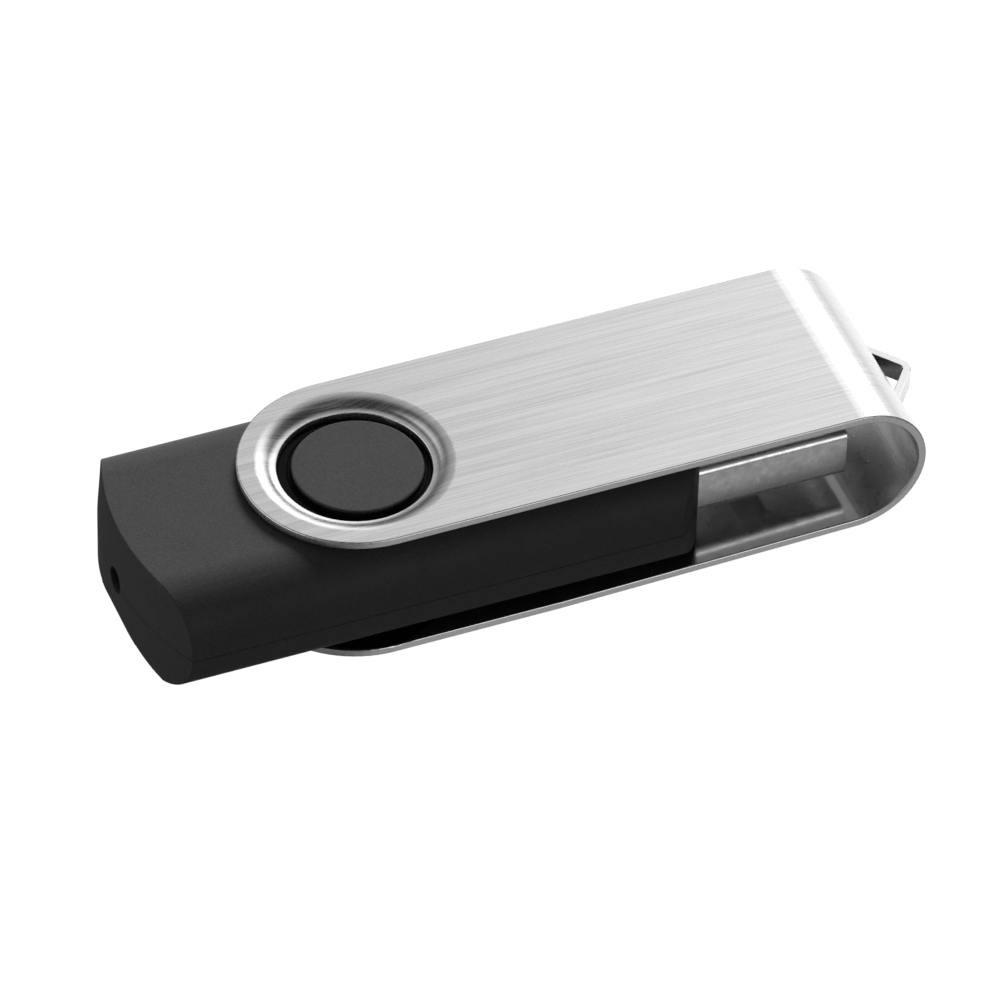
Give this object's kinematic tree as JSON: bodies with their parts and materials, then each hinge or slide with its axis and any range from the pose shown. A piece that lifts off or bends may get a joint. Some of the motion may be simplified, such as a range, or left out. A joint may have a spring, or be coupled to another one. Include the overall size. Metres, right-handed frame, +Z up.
{
  "type": "usb flash drive",
  "caption": "USB flash drive: a black plastic body with a USB-A plug, and a U-shaped brushed steel cover that swivels over the plug and has a small key-ring loop.",
  "frame": {"origin": "middle of the drive's box, on the surface that it lies on with the cover closed", "axes": "+X from the pivot towards the plug and the cover's bend, +Z up, out of the upper shell; Y across the drive"},
  "size_m": [0.069, 0.022, 0.0127],
  "materials": {
    "brushed_cover": "fine brushed along its length",
    "black_plastic": "fine moulded grain",
    "plug_metal": "satin nickel plate",
    "insulator_plastic": "smooth",
    "gold_plating": "gold flash",
    "board_laminate": "solder mask",
    "chip_epoxy": "fine moulded grain",
    "tinned_metal": "bright tin",
    "can_metal": "satin",
    "pale_ceramic": "unglazed",
    "led_resin": "milky",
    "tan_ceramic": "unglazed",
    "dark_ceramic": "unglazed",
    "solder": "bright solder"
  },
  "bodies": {
    "drive": {"upper_shell": "black_plastic", "lower_shell": "black_plastic", "plug_shell": "plug_metal", "plug_insulator": "insulator_plastic", "contact_vbus": "gold_plating", "contact_data_minus": "gold_plating", "contact_data_plus": "gold_plating", "contact_ground": "gold_plating", "circuit_board": "board_laminate", "contact_pads": "gold_plating", "spare_chip_pads": "gold_plating", "flash_chip": "chip_epoxy", "flash_chip_leads": "tinned_metal", "controller_chip": "chip_epoxy", "controller_leads": "tinned_metal", "crystal_can": "can_metal", "crystal_base": "pale_ceramic", "voltage_regulator": "chip_epoxy", "regulator_leads": "tinned_metal", "activity_led": "led_resin", "led_terminals": "gold_plating", "capacitors": "tan_ceramic", "capacitor_terminals": "tinned_metal", "resistors": "dark_ceramic", "resistor_terminals": "tinned_metal", "ferrite_bead": "dark_ceramic", "ferrite_terminals": "tinned_metal", "solder_joints": "solder"},
    "cover": {"swivel_cover": "brushed_cover"}
  },
  "joints": [
    {"name": "cover_swivel", "type": "hinge", "parent": "drive", "child": "cover", "pos_m": [-0.0141, 0, 0.00635], "axis": [0, 0, 1], "continuous": true}
  ]
}
